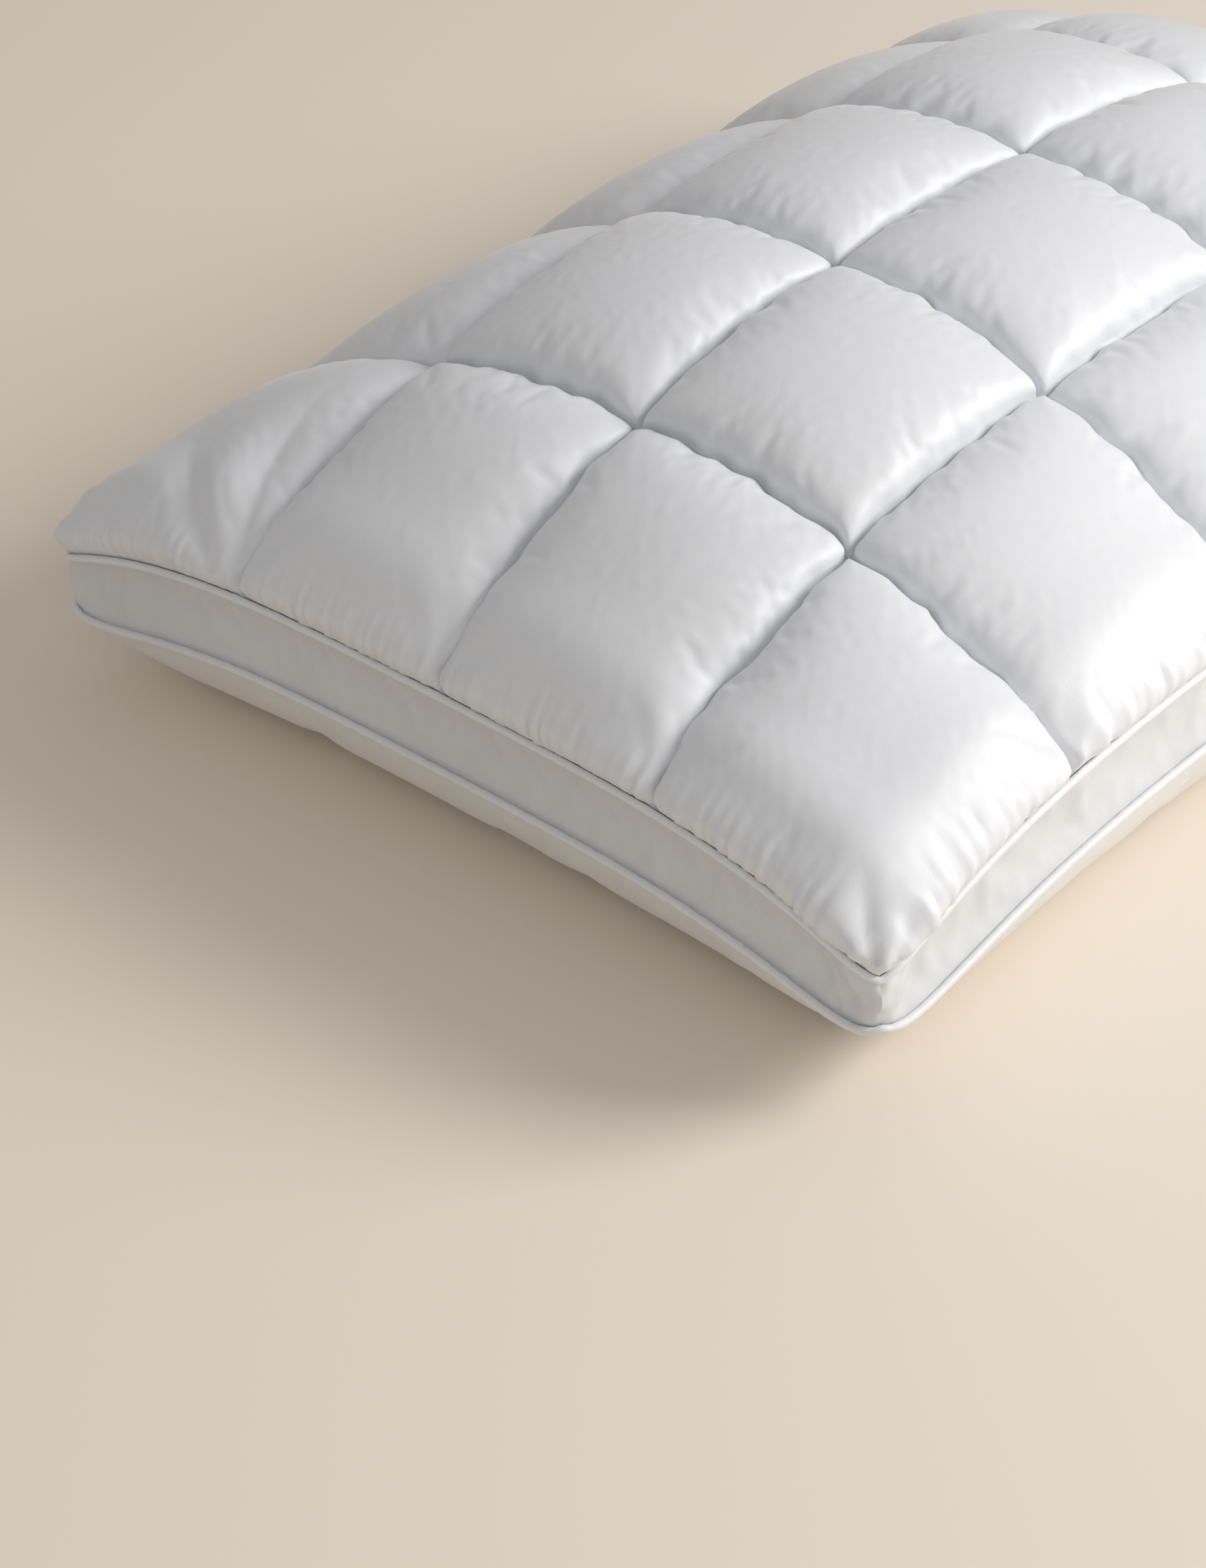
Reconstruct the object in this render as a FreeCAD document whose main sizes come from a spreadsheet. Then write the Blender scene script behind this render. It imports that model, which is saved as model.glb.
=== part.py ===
import FreeCAD, Part
import math
import os
import Sketcher

# A gusseted bed pillow with a quilted top, lying on its plain underside.
#
# Frame: origin at the middle of the flat patch that rests on the mattress, +X along the length,
# +Y across the width towards the back, +Z up. All lengths are millimetres.
#
# The seam line is the plan outline of the box wall: four sides that bow inward between rounded
# corners. Everything sewn to the wall takes its place from that line, by an offset that is
# positive outward. From the bottom up the pillow is made of: bottom panel, lower piping, gusset,
# upper piping, lining panel, pocket fills, face panel and the quilting threads. The core fill
# takes up the room inside.

DRIVING_SIZES = {
    "pillow_length": 660,  # corner to corner of the seam line
    "pillow_width": 508,
    "end_bow": 8,  # how far the middle of each short side is pulled in
    "side_bow": 14,  # the same for each long side
    "corner_radius": 14,
    "rest_height": 58,  # lower seam above the mattress
    "belly_depth": 65,  # lower seam to the lowest point, if nothing pressed it flat
    "gusset_height": 41,  # lower seam to upper seam
    "crown_height": 88,  # upper seam to the top of the lining
    "puff_height": 22,  # how far a full pocket stands above its seams
    "rows_along": 5,
    "rows_across": 4,
    "cloth": 0.8,  # thickness of a sewn layer
    "pocket_margin": 8,  # from a quilting seam to the edge of the pocket's fill
    "cord_radius": 1.2,
    "cover_wall": 0.5,
    "flange_width": 6,  # seam allowance of the piping, inward from the seam line
    "flange_wall": 0.5,
    "thread_radius": 0.25,
    "clearance": 0.3,
    "label_width": 30,
    "label_drop": 38,
    "label_wall": 0.4,
    "label_from_middle": 120,
}

FACE_POWER = 2.6  # how full the crown is: 2 is a parabola, more is flatter with steeper sides
BELLY_POWER = 6.0
PUFF_POWER = 4.0  # the same for one pocket
PUFF_SOFTNESS = 1.5  # rounds the valley at a quilting seam
SAMPLE_SPACING = 9.5  # greatest distance between the points that shape a pocket's sheets
DOME_SAMPLES = 40
THREAD_SAMPLES = 64
OVERRUN = 0.02  # share of the half size that a curved sheet runs past the seam line before trimming

doc = FreeCAD.newDocument("bed_pillow")


# Driving dimensions ---------------------------------------------------------------------------

def make_sheet():
    sheet = doc.addObject("Spreadsheet::Sheet", "dimensions")
    for row, (alias, number) in enumerate(DRIVING_SIZES.items(), start=1):
        sheet.set(f"A{row}", alias)
        sheet.set(f"B{row}", str(number))
        sheet.setAlias(f"B{row}", alias)
    doc.recompute()
    return sheet


SHEET = make_sheet()


def size(alias):
    return float(SHEET.get(alias))


def cell(alias):
    return f"dimensions.{alias}"


# Each expression below is bound to features as it stands, and value_of gives its number.
HALF_LENGTH = f"{cell('pillow_length')} / 2"
HALF_WIDTH = f"{cell('pillow_width')} / 2"
SIDE_RADIUS = f"(({HALF_LENGTH}) ^ 2 + {cell('side_bow')} ^ 2) / (2 * {cell('side_bow')})"
END_RADIUS = f"(({HALF_WIDTH}) ^ 2 + {cell('end_bow')} ^ 2) / (2 * {cell('end_bow')})"
SIDE_CENTRE = f"{HALF_WIDTH} - {cell('side_bow')} + {SIDE_RADIUS}"
END_CENTRE = f"{HALF_LENGTH} - {cell('end_bow')} + {END_RADIUS}"
BORE_RADIUS = f"{cell('cord_radius')} + {cell('clearance')} / 2"
BEAD_RADIUS = f"{BORE_RADIUS} + {cell('cover_wall')}"
THREAD_OFFSET = f"{cell('clearance')} + {cell('thread_radius')}"
BEAD_OFFSET = f"{BEAD_RADIUS} + 2 * {cell('clearance')} + 2 * {cell('thread_radius')}"
LOWER_SEAM = cell("rest_height")
UPPER_SEAM = f"{cell('rest_height')} + {cell('gusset_height')}"
HALF_SEAM = f"{cell('flange_wall')} / 2 + {cell('clearance')}"  # seam level to the nearest cloth
THREAD_RISE = f"{HALF_SEAM} + {cell('thread_radius')}"


def value_of(expression):
    return float(SHEET.evalExpression(expression))


# Seam line ------------------------------------------------------------------------------------

def corner_centre():
    """Centre of the corner arc at +X +Y, which touches a long side and a short side."""
    corner_radius = size("corner_radius")
    side = FreeCAD.Vector(0, value_of(SIDE_CENTRE), 0)
    end = FreeCAD.Vector(value_of(END_CENTRE), 0, 0)
    from_side = value_of(SIDE_RADIUS) + corner_radius
    from_end = value_of(END_RADIUS) + corner_radius
    apart = (end - side).Length
    along = (from_side ** 2 - from_end ** 2 + apart ** 2) / (2 * apart)
    away = math.sqrt(from_side ** 2 - along ** 2)
    direction = (end - side) / apart
    inward = FreeCAD.Vector(direction.y, -direction.x, 0)
    return side + direction * along + inward * away


def outline_arcs(offset):
    """The nine arcs of the seam line moved outward by offset, from the middle of the front side.

    Each is (name, centre, radius, first angle, last angle), and runs anticlockwise about its own
    centre. The corner arcs turn the same way as the loop and the side arcs turn against it.
    """
    side_y, end_x = value_of(SIDE_CENTRE), value_of(END_CENTRE)
    side_radius = value_of(SIDE_RADIUS) - offset
    end_radius = value_of(END_RADIUS) - offset
    corner_radius = size("corner_radius") + offset
    corner = corner_centre()
    side_turn = math.atan2(corner.x, side_y - corner.y)
    end_turn = math.atan2(corner.y, end_x - corner.x)
    quarter, half = math.pi / 2, math.pi
    front = FreeCAD.Vector(0, -side_y, 0)
    right = FreeCAD.Vector(end_x, 0, 0)
    back = FreeCAD.Vector(0, side_y, 0)
    left = FreeCAD.Vector(-end_x, 0, 0)

    def corner_at(x_sign, y_sign):
        return FreeCAD.Vector(x_sign * corner.x, y_sign * corner.y, 0)

    return [
        ("front_half", front, side_radius, quarter - side_turn, quarter),
        ("corner_fr", corner_at(1, -1), corner_radius, -quarter - side_turn, end_turn),
        ("right", right, end_radius, half - end_turn, half + end_turn),
        ("corner_br", corner_at(1, 1), corner_radius, -end_turn, quarter + side_turn),
        ("back", back, side_radius, -quarter - side_turn, -quarter + side_turn),
        ("corner_bl", corner_at(-1, 1), corner_radius, quarter - side_turn, half + end_turn),
        ("left", left, end_radius, -end_turn, end_turn),
        ("corner_fl", corner_at(-1, -1), corner_radius, half - end_turn, 3 * quarter + side_turn),
        ("other_half", front, side_radius, quarter, quarter + side_turn),
    ]


def outline_prism(offset, bottom, top):
    """The room inside the seam line moved outward by offset, between two levels."""
    edges = []
    for _, centre, radius, first, last in outline_arcs(offset):
        circle = Part.Circle(centre, FreeCAD.Vector(0, 0, 1), radius)
        edges.append(Part.ArcOfCircle(circle, first, last).toShape())
    wire = Part.Wire(Part.__sortEdges__(edges))
    wire.translate(FreeCAD.Vector(0, 0, bottom))
    return Part.Face(wire).extrude(FreeCAD.Vector(0, 0, top - bottom))


# Sketches and bodies --------------------------------------------------------------------------

START, END, CENTRE = 1, 2, 3
ORIGIN = (-1, 1)
X_AXIS, Y_AXIS = -1, -2


def new_body(label):
    body = doc.addObject("PartDesign::Body", label)
    body.Label = label
    return body


def new_sketch(body, name, plane_role):
    sketch = body.newObject("Sketcher::SketchObject", f"{body.Label}_{name}")
    plane = next(item for item in body.Origin.OriginFeatures if item.Role == plane_role)
    sketch.AttachmentSupport = (plane, [""])
    sketch.MapMode = "FlatFace"
    return sketch


def bind(sketch, constraint, name, expression):
    """Adds a constraint whose value follows an expression of the sheet's cells."""
    index = sketch.addConstraint(constraint)
    sketch.renameConstraint(index, name)
    sketch.setExpression(f"Constraints.{name}", expression)


def draw_outline(sketch, offset_expression, prefix=""):
    """Draws the seam line moved outward, as nine tangent arcs held by four radii and centres."""
    geometry = {}
    for name, centre, radius, first, last in outline_arcs(value_of(offset_expression)):
        circle = Part.Circle(centre, FreeCAD.Vector(0, 0, 1), radius)
        geometry[name] = sketch.addGeometry(Part.ArcOfCircle(circle, first, last), False)

    joints = [
        ("front_half", START, "corner_fr", START),
        ("corner_fr", END, "right", END),
        ("right", START, "corner_br", START),
        ("corner_br", END, "back", END),
        ("back", START, "corner_bl", START),
        ("corner_bl", END, "left", END),
        ("left", START, "corner_fl", START),
        ("corner_fl", END, "other_half", END),
    ]
    for one, one_end, other, other_end in joints:
        tangent = Sketcher.Constraint("Tangent", geometry[one], one_end, geometry[other], other_end)
        sketch.addConstraint(tangent)

    front, other = geometry["front_half"], geometry["other_half"]
    sketch.addConstraint(Sketcher.Constraint("Coincident", front, END, other, START))
    sketch.addConstraint(Sketcher.Constraint("Coincident", front, CENTRE, other, CENTRE))
    sketch.addConstraint(Sketcher.Constraint("PointOnObject", front, END, Y_AXIS))

    sides = [
        ("front_half", Y_AXIS, "DistanceY", f"-({SIDE_CENTRE})", SIDE_RADIUS),
        ("right", X_AXIS, "DistanceX", END_CENTRE, END_RADIUS),
        ("back", Y_AXIS, "DistanceY", SIDE_CENTRE, SIDE_RADIUS),
        ("left", X_AXIS, "DistanceX", f"-({END_CENTRE})", END_RADIUS),
    ]
    for name, axis, distance, centre, radius in sides:
        arc = geometry[name]
        sketch.addConstraint(Sketcher.Constraint("PointOnObject", arc, CENTRE, axis))
        place = Sketcher.Constraint(distance, *ORIGIN, arc, CENTRE, value_of(centre))
        bind(sketch, place, f"{prefix}{name}_centre", centre)
        full = f"{radius} - ({offset_expression})"
        bend = Sketcher.Constraint("Radius", arc, value_of(full))
        bind(sketch, bend, f"{prefix}{name}_radius", full)

    corner_radius = f"{cell('corner_radius')} + ({offset_expression})"
    for name in ("corner_fr", "corner_br", "corner_bl", "corner_fl"):
        bend = Sketcher.Constraint("Radius", geometry[name], value_of(corner_radius))
        bind(sketch, bend, f"{prefix}{name}_radius", corner_radius)
    return len(geometry)


def draw_polygon(sketch, corners):
    """Draws a closed polygon; each corner is a pair of expressions for its x and its y."""
    points = [FreeCAD.Vector(value_of(x), value_of(y), 0) for x, y in corners]
    lines = []
    for here, there in zip(points, points[1:] + points[:1]):
        lines.append(sketch.addGeometry(Part.LineSegment(here, there), False))
    for line, following in zip(lines, lines[1:] + lines[:1]):
        sketch.addConstraint(Sketcher.Constraint("Coincident", line, END, following, START))
    for number, (line, (x, y)) in enumerate(zip(lines, corners)):
        across = Sketcher.Constraint("DistanceX", *ORIGIN, line, START, value_of(x))
        bind(sketch, across, f"x{number}", x)
        up = Sketcher.Constraint("DistanceY", *ORIGIN, line, START, value_of(y))
        bind(sketch, up, f"y{number}", y)


def draw_circle(sketch, name, centre_expression, radius_expression):
    """Draws a circle with its centre on the sketch's X axis."""
    centre = FreeCAD.Vector(value_of(centre_expression), 0, 0)
    circle = Part.Circle(centre, FreeCAD.Vector(0, 0, 1), value_of(radius_expression))
    index = sketch.addGeometry(circle, False)
    sketch.addConstraint(Sketcher.Constraint("PointOnObject", index, CENTRE, X_AXIS))
    place = Sketcher.Constraint("DistanceX", *ORIGIN, index, CENTRE, value_of(centre_expression))
    bind(sketch, place, f"{name}_centre", centre_expression)
    bend = Sketcher.Constraint("Radius", index, value_of(radius_expression))
    bind(sketch, bend, f"{name}_radius", radius_expression)


def lift(body, level_expression):
    """Stands a body, drawn at level 0, at a level above the mattress."""
    body.setExpression(".Placement.Base.z", level_expression)


# Gusset ---------------------------------------------------------------------------------------

def make_gusset(label, axis, sign):
    """One strip of the box wall: a ring of cloth less the sectors of the other three strips.

    The strip's own side faces along axis (0 for X, 1 for Y) times sign.
    """
    body = new_body(label)
    ring = new_sketch(body, "ring", "XY_Plane")
    draw_outline(ring, "0", "outer_")
    draw_outline(ring, f"-{cell('cloth')}", "inner_")
    pad = body.newObject("PartDesign::Pad", f"{label}_pad")
    pad.Profile = ring
    pad.setExpression("Length", f"{cell('gusset_height')} - 2 * ({HALF_SEAM})")

    # the mitre lines run at 45 degrees through the corners, and half a clearance is left at each
    beyond = f"{cell('corner_radius')} * 2"
    within = f"-{cell('corner_radius')} * 4"
    gap = f"{cell('clearance')} / 2"
    halves = (HALF_LENGTH, HALF_WIDTH)
    along, facing = halves[1 - axis], halves[axis]

    def at(along_sign, reach, facing_sign, nudge):
        pair = [None, None]
        pair[1 - axis] = f"{along_sign} * ({along} + {reach} - {nudge})"
        pair[axis] = f"{facing_sign} * ({facing} + {reach})"
        return tuple(pair)

    others = [
        at(-1, beyond, sign, gap),
        at(-1, within, sign, gap),
        at(1, within, sign, gap),
        at(1, beyond, sign, gap),
        at(1, beyond, -sign, gap),
        at(-1, beyond, -sign, gap),
    ]
    sector = new_sketch(body, "other_sides", "XY_Plane")
    draw_polygon(sector, others)
    pocket = body.newObject("PartDesign::Pocket", f"{label}_mitres")
    pocket.Profile = sector
    pocket.Type = "ThroughAll"
    pocket.Reversed = True
    lift(body, f"{LOWER_SEAM} + {HALF_SEAM}")
    return body


# Piping and seam threads ----------------------------------------------------------------------

def sweep_round(body, kind, profile, offset_expression):
    """Sweeps a profile, drawn in the YZ plane at the front, once round the seam line."""
    spine = new_sketch(body, f"{profile.Name}_spine", "XY_Plane")
    arcs = draw_outline(spine, offset_expression)
    pipe = body.newObject(f"PartDesign::{kind}Pipe", f"{profile.Name}_sweep")
    pipe.Profile = profile
    pipe.Spine = (spine, [f"Edge{number + 1}" for number in range(arcs)])


def front_place(offset_expression):
    """Y of the seam line at the middle of the front side, moved outward."""
    return f"-({HALF_WIDTH} - {cell('side_bow')} + {offset_expression})"


def make_loop(label, offset_expression, radius_expression, level_expression):
    """A round cord or thread that follows the seam line."""
    body = new_body(label)
    profile = new_sketch(body, "section", "YZ_Plane")
    draw_circle(profile, "section", front_place(offset_expression), radius_expression)
    sweep_round(body, "Additive", profile, offset_expression)
    lift(body, level_expression)
    return body


def make_cover(label, level_expression):
    """Piping cover: a tube of cloth round the cord, with its seam allowance running inward."""
    body = new_body(label)
    profile = new_sketch(body, "section", "YZ_Plane")
    middle = front_place(BEAD_OFFSET)
    centre = FreeCAD.Vector(value_of(middle), 0, 0)
    outer = value_of(BEAD_RADIUS)
    half_wall = size("flange_wall") / 2
    mouth = math.asin(half_wall / outer)
    reach = value_of(front_place(f"-{cell('flange_width')}"))
    near = centre.x + outer * math.cos(mouth)

    circle = Part.Circle(centre, FreeCAD.Vector(0, 0, 1), outer)
    bead = profile.addGeometry(Part.ArcOfCircle(circle, mouth, 2 * math.pi - mouth), False)
    path = [
        FreeCAD.Vector(near, -half_wall, 0),
        FreeCAD.Vector(reach, -half_wall, 0),
        FreeCAD.Vector(reach, half_wall, 0),
        FreeCAD.Vector(near, half_wall, 0),
    ]
    under, edge, over = [
        profile.addGeometry(Part.LineSegment(here, there), False)
        for here, there in zip(path, path[1:])
    ]
    for one, one_end, other, other_end in (
        (bead, END, under, START),
        (under, END, edge, START),
        (edge, END, over, START),
        (over, END, bead, START),
    ):
        profile.addConstraint(Sketcher.Constraint("Coincident", one, one_end, other, other_end))
    profile.addConstraint(Sketcher.Constraint("Horizontal", under))
    profile.addConstraint(Sketcher.Constraint("Horizontal", over))
    profile.addConstraint(Sketcher.Constraint("Symmetric", edge, START, edge, END, X_AXIS))
    profile.addConstraint(Sketcher.Constraint("PointOnObject", bead, CENTRE, X_AXIS))
    place = Sketcher.Constraint("DistanceX", *ORIGIN, bead, CENTRE, centre.x)
    bind(profile, place, "bead_centre", middle)
    bind(profile, Sketcher.Constraint("Radius", bead, outer), "bead_radius", BEAD_RADIUS)
    wall = Sketcher.Constraint("DistanceY", edge, START, edge, END, 2 * half_wall)
    bind(profile, wall, "flange_wall", cell("flange_wall"))
    width = Sketcher.Constraint("DistanceX", *ORIGIN, edge, START, reach)
    bind(profile, width, "flange_edge", front_place(f"-{cell('flange_width')}"))

    sweep_round(body, "Additive", profile, BEAD_OFFSET)
    bore = new_sketch(body, "bore", "YZ_Plane")
    draw_circle(bore, "bore", middle, BORE_RADIUS)
    sweep_round(body, "Subtractive", bore, BEAD_OFFSET)
    lift(body, level_expression)
    return body


def make_corner_threads(label):
    """Four upright threads that close the joints between the gusset strips, just inside them."""
    corner = corner_centre()
    height = f"{cell('gusset_height')} - 2 * ({HALF_SEAM})"
    inset = size("corner_radius") - size("cloth") - value_of(THREAD_OFFSET)
    threads = []
    for x_sign in (-1, 1):
        for y_sign in (-1, 1):
            thread = doc.addObject("Part::Cylinder", f"{label}_{len(threads) + 1}")
            thread.setExpression("Radius", cell("thread_radius"))
            thread.setExpression("Height", height)
            x = x_sign * (corner.x + inset * math.sqrt(0.5))
            y = y_sign * (corner.y + inset * math.sqrt(0.5))
            thread.Placement.Base = FreeCAD.Vector(x, y, 0)
            thread.setExpression(".Placement.Base.z", f"{LOWER_SEAM} + {HALF_SEAM}")
            threads.append(thread)
    group = doc.addObject("Part::Compound", label)
    group.Label = label
    group.Links = threads
    return group


# Curved sheets --------------------------------------------------------------------------------

def plan_point(across, up):
    """Plan position of a share of the way to the seam line along X (across) and along Y (up)."""
    x = across * (size("pillow_length") / 2 - size("end_bow") * (1 - up ** 2))
    y = up * (size("pillow_width") / 2 - size("side_bow") * (1 - across ** 2))
    return x, y


def dome(across, up, power):
    """1 in the middle of the pillow, falling to 0 at the seam line."""
    return (1 - abs(across) ** power) * (1 - abs(up) ** power)


def puff(share, pockets):
    """1 in the middle of a pocket, falling softly to 0 at its seams, along one direction."""
    if abs(share) >= 1:
        return 0.0
    in_pocket = ((share + 1) / 2 * pockets) % 1 * 2 - 1
    return (1 - abs(in_pocket) ** PUFF_POWER) ** PUFF_SOFTNESS


def lining_under(across, up):
    """Level of the lining's underside."""
    return value_of(f"{UPPER_SEAM} + {HALF_SEAM}") + size("crown_height") * dome(across, up, FACE_POWER)


def lining_over(across, up):
    return lining_under(across, up) + size("cloth")


def face_under(across, up):
    """Level of the face panel's underside, which the pocket fills push up."""
    pushed = puff(across, size("rows_along")) * puff(up, size("rows_across"))
    seam_gap = 2 * size("clearance")
    return lining_over(across, up) + seam_gap + size("puff_height") * pushed


def face_over(across, up):
    return face_under(across, up) + size("cloth")


def belly(across, up):
    """Depth of the underside below the lower seam, before the mattress presses it flat."""
    return size("belly_depth") * dome(across, up, BELLY_POWER)


def curved_face(level, across_shares, up_shares):
    """A smooth sheet through the level given at every pair of shares."""
    grid = []
    for across in across_shares:
        grid.append([FreeCAD.Vector(*plan_point(across, up), level(across, up)) for up in up_shares])
    surface = Part.BSplineSurface()
    surface.interpolate(grid)
    return surface.toShape()


def even_shares(first, last, steps):
    return [first + (last - first) * step / steps for step in range(steps + 1)]


def sheet_shares(steps):
    """Even shares from seam to seam, with one more past each seam."""
    return [-1 - OVERRUN] + even_shares(-1, 1, steps) + [1 + OVERRUN]


def pocket_steps(overall_alias, count_alias):
    """Steps across one pocket, as many as keep its shaping points close together."""
    return math.ceil(size(overall_alias) / size(count_alias) / SAMPLE_SPACING)


def pocket_shares(overall_alias, count_alias):
    return sheet_shares(int(size(count_alias)) * pocket_steps(overall_alias, count_alias))


def dome_shares():
    return sheet_shares(DOME_SAMPLES)


TALL = 2000.0  # taller than any part of the pillow


def below(face):
    return face.extrude(FreeCAD.Vector(0, 0, -TALL))


def above(face):
    return face.extrude(FreeCAD.Vector(0, 0, TALL))


def add_feature(label, shape):
    feature = doc.addObject("Part::Feature", label)
    feature.Label = label
    feature.Shape = shape
    feature.Placement = FreeCAD.Placement()
    return feature


def one_solid(shape):
    """The solid inside a boolean's result."""
    return max(shape.Solids, key=lambda solid: solid.Volume)


def make_face_panel():
    along = pocket_shares("pillow_length", "rows_along")
    across = pocket_shares("pillow_width", "rows_across")
    sheet = curved_face(face_under, along, across)
    cloth = sheet.extrude(FreeCAD.Vector(0, 0, size("cloth")))
    return add_feature("face_panel", one_solid(cloth.common(outline_prism(0, 0, TALL))))


def make_lining_panel():
    sheet = curved_face(lining_under, dome_shares(), dome_shares())
    cloth = sheet.extrude(FreeCAD.Vector(0, 0, size("cloth")))
    return add_feature("lining_panel", one_solid(cloth.common(outline_prism(0, 0, TALL))))


def make_pocket_fill(row, column):
    """The pad of one pocket, between the lining and the face panel and clear of the seams."""
    rows_along, rows_across = size("rows_along"), size("rows_across")
    margin_along = size("pocket_margin") / size("pillow_length") * 2
    margin_up = size("pocket_margin") / size("pillow_width") * 2
    across = even_shares(
        2 * row / rows_along - 1 + margin_along,
        2 * (row + 1) / rows_along - 1 - margin_along,
        pocket_steps("pillow_length", "rows_along"),
    )
    up = even_shares(
        2 * column / rows_across - 1 + margin_up,
        2 * (column + 1) / rows_across - 1 - margin_up,
        pocket_steps("pillow_width", "rows_across"),
    )
    clearance = size("clearance")
    floor = curved_face(lambda a, b: lining_over(a, b) + clearance, across, up)
    roof = curved_face(lambda a, b: face_under(a, b) - clearance, across, up)
    walls = [
        Part.makeRuledSurface(low, high)
        for low, high in zip(floor.Edges, roof.Edges)
    ]
    shell = Part.makeShell([floor, roof] + walls)
    shell.sewShape()
    solid = Part.makeSolid(shell)
    if solid.Volume < 0:
        solid.reverse()
    return add_feature(f"pocket_fill_row{row + 1}_col{column + 1}", solid)


def make_bottom_panel():
    """A cloth bowl with a flat patch where it rests, made as one room less a smaller one."""
    cloth = size("cloth")
    rim = value_of(f"{LOWER_SEAM} - ({HALF_SEAM})")
    outer_sheet = curved_face(lambda a, b: rim - cloth - belly(a, b), dome_shares(), dome_shares())
    inner_sheet = curved_face(lambda a, b: rim - belly(a, b), dome_shares(), dome_shares())
    outer = above(outer_sheet).common(outline_prism(0, 0, rim))
    inner = above(inner_sheet).common(outline_prism(-cloth, cloth, rim + cloth))
    return add_feature("bottom_panel", one_solid(outer.cut(inner)))


def make_core_fill():
    """The main filling: everything inside the box wall, the lining and the bottom panel."""
    clearance = size("clearance")
    flange_clear = size("flange_width") + clearance
    over = value_of(f"{LOWER_SEAM} - ({HALF_SEAM})") + clearance
    under = 2 * value_of(HALF_SEAM)
    roof = curved_face(lambda a, b: lining_under(a, b) - under, dome_shares(), dome_shares())
    floor = curved_face(lambda a, b: over - belly(a, b), dome_shares(), dome_shares())
    room = outline_prism(-flange_clear, size("cloth") + clearance, TALL)
    return add_feature("core_fill", one_solid(below(roof).common(room).common(above(floor))))


# Quilting threads -----------------------------------------------------------------------------

def make_thread(points):
    """A round thread through points, as straight runs between rings square to its path."""
    rings = []
    for number, point in enumerate(points):
        before = points[max(number - 1, 0)]
        after = points[min(number + 1, len(points) - 1)]
        ring = Part.Circle(point, after - before, size("thread_radius")).toShape()
        rings.append(Part.Wire(ring))
    return Part.makeLoft(rings, True, True)


def seam_shares(alias):
    """Shares of the way across at which the quilting seams between pockets lie."""
    pockets = int(size(alias))
    return [2 * seam / pockets - 1 for seam in range(1, pockets)]


def make_quilting_threads():
    """Lengthwise threads lie in the valleys of the face, and crosswise threads pass over them."""
    reach = 1 - size("flange_width") / size("pillow_width") * 2
    run = even_shares(-reach, reach, THREAD_SAMPLES)
    first_level = value_of(THREAD_OFFSET)
    second_level = first_level + size("clearance") + 2 * size("thread_radius")

    def point(across, up, level):
        return FreeCAD.Vector(*plan_point(across, up), face_over(across, up) + level)

    lengthwise = [
        make_thread([point(across, up, first_level) for across in run])
        for up in seam_shares("rows_across")
    ]
    crosswise = [
        make_thread([point(across, up, second_level) for up in run])
        for across in seam_shares("rows_along")
    ]
    return [
        add_feature("quilting_threads_lengthwise", Part.makeCompound(lengthwise)),
        add_feature("quilting_threads_crosswise", Part.makeCompound(crosswise)),
    ]


# Label ----------------------------------------------------------------------------------------

def make_care_label():
    """A blank tape caught in the lower seam of the right side, hanging outside the underside."""
    body = new_body("care_label")
    outline = new_sketch(body, "outline", "YZ_Plane")
    half, drop = f"{cell('label_width')} / 2", f"-{cell('label_drop')}"
    draw_polygon(outline, [(f"-{half}", "0"), (f"-{half}", drop), (half, drop), (half, "0")])
    pad = body.newObject("PartDesign::Pad", "care_label_pad")
    pad.Profile = outline
    pad.setExpression("Length", cell("label_wall"))

    # it turns with the bowed side, so that it stays flat against the seam line
    along = cell("label_from_middle")
    in_bow = f"sqrt(({END_RADIUS}) ^ 2 - {along} ^ 2)"
    body.setExpression(".Placement.Base.x", f"{END_CENTRE} - {in_bow} + {cell('clearance')}")
    body.setExpression(".Placement.Base.y", along)
    body.setExpression(".Placement.Rotation.Angle", f"-asin({along} / ({END_RADIUS}))")
    lift(body, f"{LOWER_SEAM} - ({HALF_SEAM})")
    return body


# The pillow -----------------------------------------------------------------------------------

def make_pillow():
    parts = [make_face_panel(), make_lining_panel(), make_bottom_panel(), make_core_fill()]
    for row in range(int(size("rows_along"))):
        for column in range(int(size("rows_across"))):
            parts.append(make_pocket_fill(row, column))
    for label, axis, sign in (
        ("gusset_front", 1, -1),
        ("gusset_back", 1, 1),
        ("gusset_left", 0, -1),
        ("gusset_right", 0, 1),
    ):
        parts.append(make_gusset(label, axis, sign))
    seams = (
        ("upper", UPPER_SEAM, f"{UPPER_SEAM} - ({THREAD_RISE})"),
        ("lower", LOWER_SEAM, f"{LOWER_SEAM} + {THREAD_RISE}"),
    )
    for name, level, thread_level in seams:
        parts.append(make_cover(f"{name}_piping_cover", level))
        parts.append(make_loop(f"{name}_piping_cord", BEAD_OFFSET, cell("cord_radius"), level))
        thread = f"{name}_seam_thread"
        parts.append(make_loop(thread, THREAD_OFFSET, cell("thread_radius"), thread_level))
    parts.append(make_corner_threads("corner_seam_threads"))
    parts.extend(make_quilting_threads())
    parts.append(make_care_label())
    return parts


def check(parts):
    doc.recompute()
    for item in doc.Objects:
        if "Invalid" in item.State or "Error" in item.State:
            raise RuntimeError(f"{item.Label} is {item.State}")
    for part in parts:
        if part.Shape.isNull() or not part.Shape.isValid() or not part.Shape.Solids:
            raise RuntimeError(f"{part.Label} has no valid solid")


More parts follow.
